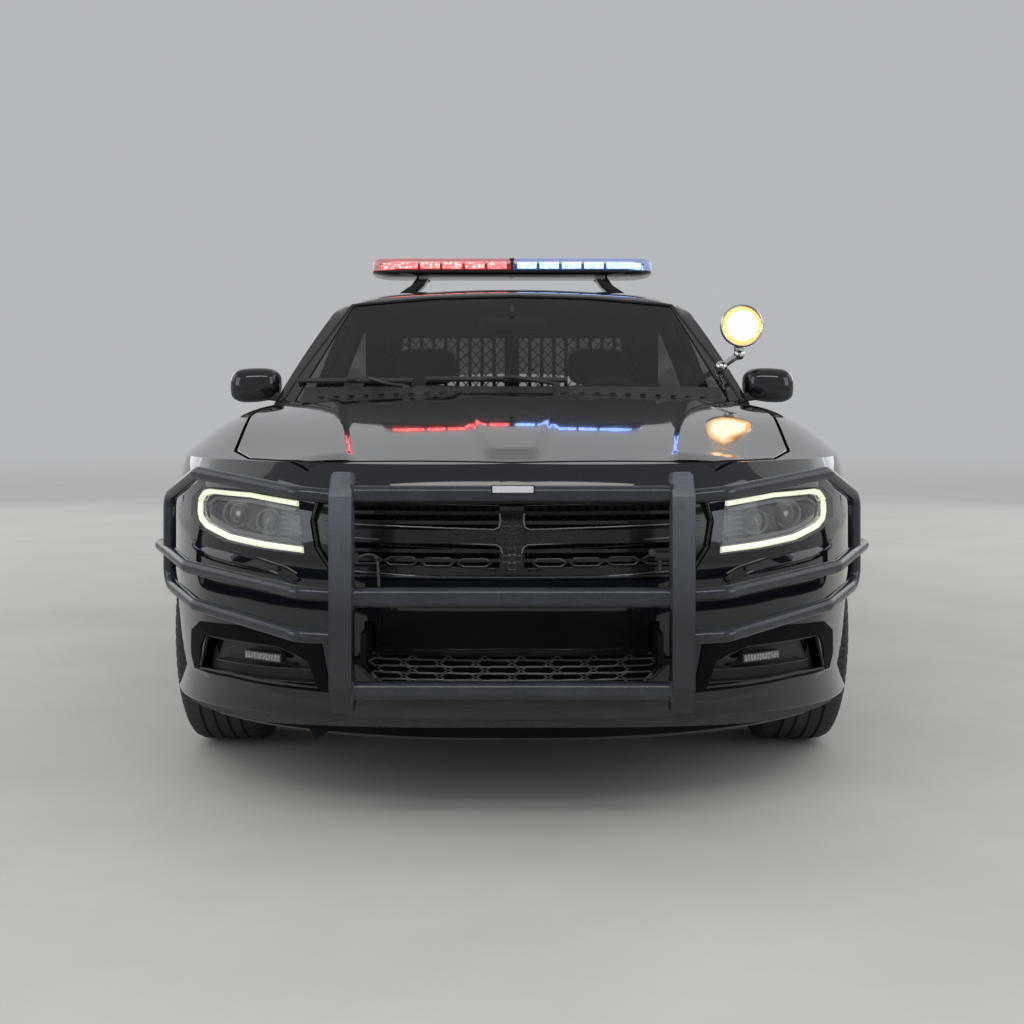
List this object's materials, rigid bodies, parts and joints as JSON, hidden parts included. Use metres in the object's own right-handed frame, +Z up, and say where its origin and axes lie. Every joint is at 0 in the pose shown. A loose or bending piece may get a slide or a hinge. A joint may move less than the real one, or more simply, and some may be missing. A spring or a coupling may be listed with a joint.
{
  "type": "police patrol car",
  "caption": "Black four-door patrol saloon with push bumper, roof light bar and pillar spotlight; wheels, steering, doors, bonnet and boot lid move.",
  "frame": {"origin": "on the ground, midway between the front of the push bumper and the tail, on the centre line", "axes": "+Z up, -Y forwards, +X to the driver's side (the car's own left)"},
  "size_m": [2.021, 5.1621, 1.601],
  "materials": {
    "black_paint": "gloss",
    "dark_steel": "satin",
    "bare_steel": "brushed",
    "engine_metal": "cast",
    "black_plastic": "matte",
    "lamp_glass": "gloss",
    "red_lens": "gloss",
    "bar_lens": "gloss",
    "window_glass": "gloss",
    "seat_cloth": "woven",
    "tyre": "matte",
    "wheel_steel": "satin",
    "spot_chrome": "polished"
  },
  "bodies": {
    "car": {"body_frame": "black_paint", "dashboard": "black_plastic", "engine": "engine_metal", "radiator": "engine_metal", "exhaust": "bare_steel", "fender_left": "black_paint", "fender_right": "black_paint", "front_fascia": "black_paint", "front_lamps": "lamp_glass", "front_suspension": "dark_steel", "rear_suspension": "dark_steel", "grille": "black_plastic", "lightbar": "bar_lens", "partition": "dark_steel", "platform": "dark_steel", "push_bumper": "dark_steel", "rear_fascia": "black_paint", "rear_window": "window_glass", "seats": "seat_cloth", "spotlight": "spot_chrome", "tail_lamps": "red_lens", "wheel_liners": "black_plastic", "windshield": "window_glass", "wipers": "black_plastic"},
    "bonnet": {"bonnet": "black_paint"},
    "boot_lid": {"boot_lid": "black_paint"},
    "door_front_left": {"door_front_left": "black_paint", "glass_front_left": "window_glass", "mirror_left": "black_plastic"},
    "door_rear_left": {"door_rear_left": "black_paint", "glass_rear_left": "window_glass"},
    "knuckle_left": {"knuckle_left": "dark_steel"},
    "wheel_front_left": {"wheel_front_left": "wheel_steel", "tyre_front_left": "tyre"},
    "wheel_rear_left": {"wheel_rear_left": "wheel_steel", "tyre_rear_left": "tyre"},
    "door_front_right": {"door_front_right": "black_paint", "glass_front_right": "window_glass", "mirror_right": "black_plastic"},
    "door_rear_right": {"door_rear_right": "black_paint", "glass_rear_right": "window_glass"},
    "knuckle_right": {"knuckle_right": "dark_steel"},
    "wheel_front_right": {"wheel_front_right": "wheel_steel", "tyre_front_right": "tyre"},
    "wheel_rear_right": {"wheel_rear_right": "wheel_steel", "tyre_rear_right": "tyre"}
  },
  "joints": [
    {"name": "door_front_left_hinge", "type": "hinge", "parent": "car", "child": "door_front_left", "pos_m": [0.937, -0.866, 0.7], "axis": [0, 0, -1], "range_deg": [0, 68]},
    {"name": "door_rear_left_hinge", "type": "hinge", "parent": "car", "child": "door_rear_left", "pos_m": [0.932, 0.266, 0.7], "axis": [0, 0, -1], "range_deg": [0, 66]},
    {"name": "steer_left", "type": "hinge", "parent": "car", "child": "knuckle_left", "pos_m": [0.743, -1.511, 0.3635], "axis": [0, 0, 1], "range_deg": [-32, 32]},
    {"name": "wheel_front_left_spin", "type": "hinge", "parent": "knuckle_left", "child": "wheel_front_left", "pos_m": [0.805, -1.511, 0.3635], "axis": [1, 0, 0], "continuous": true},
    {"name": "wheel_rear_left_spin", "type": "hinge", "parent": "car", "child": "wheel_rear_left", "pos_m": [0.805, 1.541, 0.3635], "axis": [1, 0, 0], "continuous": true},
    {"name": "door_front_right_hinge", "type": "hinge", "parent": "car", "child": "door_front_right", "pos_m": [-0.937, -0.866, 0.7], "axis": [0, 0, 1], "range_deg": [0, 68]},
    {"name": "door_rear_right_hinge", "type": "hinge", "parent": "car", "child": "door_rear_right", "pos_m": [-0.932, 0.266, 0.7], "axis": [0, 0, 1], "range_deg": [0, 66]},
    {"name": "steer_right", "type": "hinge", "parent": "car", "child": "knuckle_right", "pos_m": [-0.743, -1.511, 0.3635], "axis": [0, 0, 1], "range_deg": [-32, 32]},
    {"name": "wheel_front_right_spin", "type": "hinge", "parent": "knuckle_right", "child": "wheel_front_right", "pos_m": [-0.805, -1.511, 0.3635], "axis": [1, 0, 0], "continuous": true},
    {"name": "wheel_rear_right_spin", "type": "hinge", "parent": "car", "child": "wheel_rear_right", "pos_m": [-0.805, 1.541, 0.3635], "axis": [1, 0, 0], "continuous": true},
    {"name": "bonnet_hinge", "type": "hinge", "parent": "car", "child": "bonnet", "pos_m": [0, -0.931, 1.02], "axis": [-1, 0, 0], "range_deg": [0, 52]},
    {"name": "boot_lid_hinge", "type": "hinge", "parent": "car", "child": "boot_lid", "pos_m": [0, 1.709, 1.1], "axis": [1, 0, 0], "range_deg": [0, 78]}
  ],
  "couplings": [
    {"joint": "steer_right", "follows": "steer_left", "ratio": 1}
  ]
}
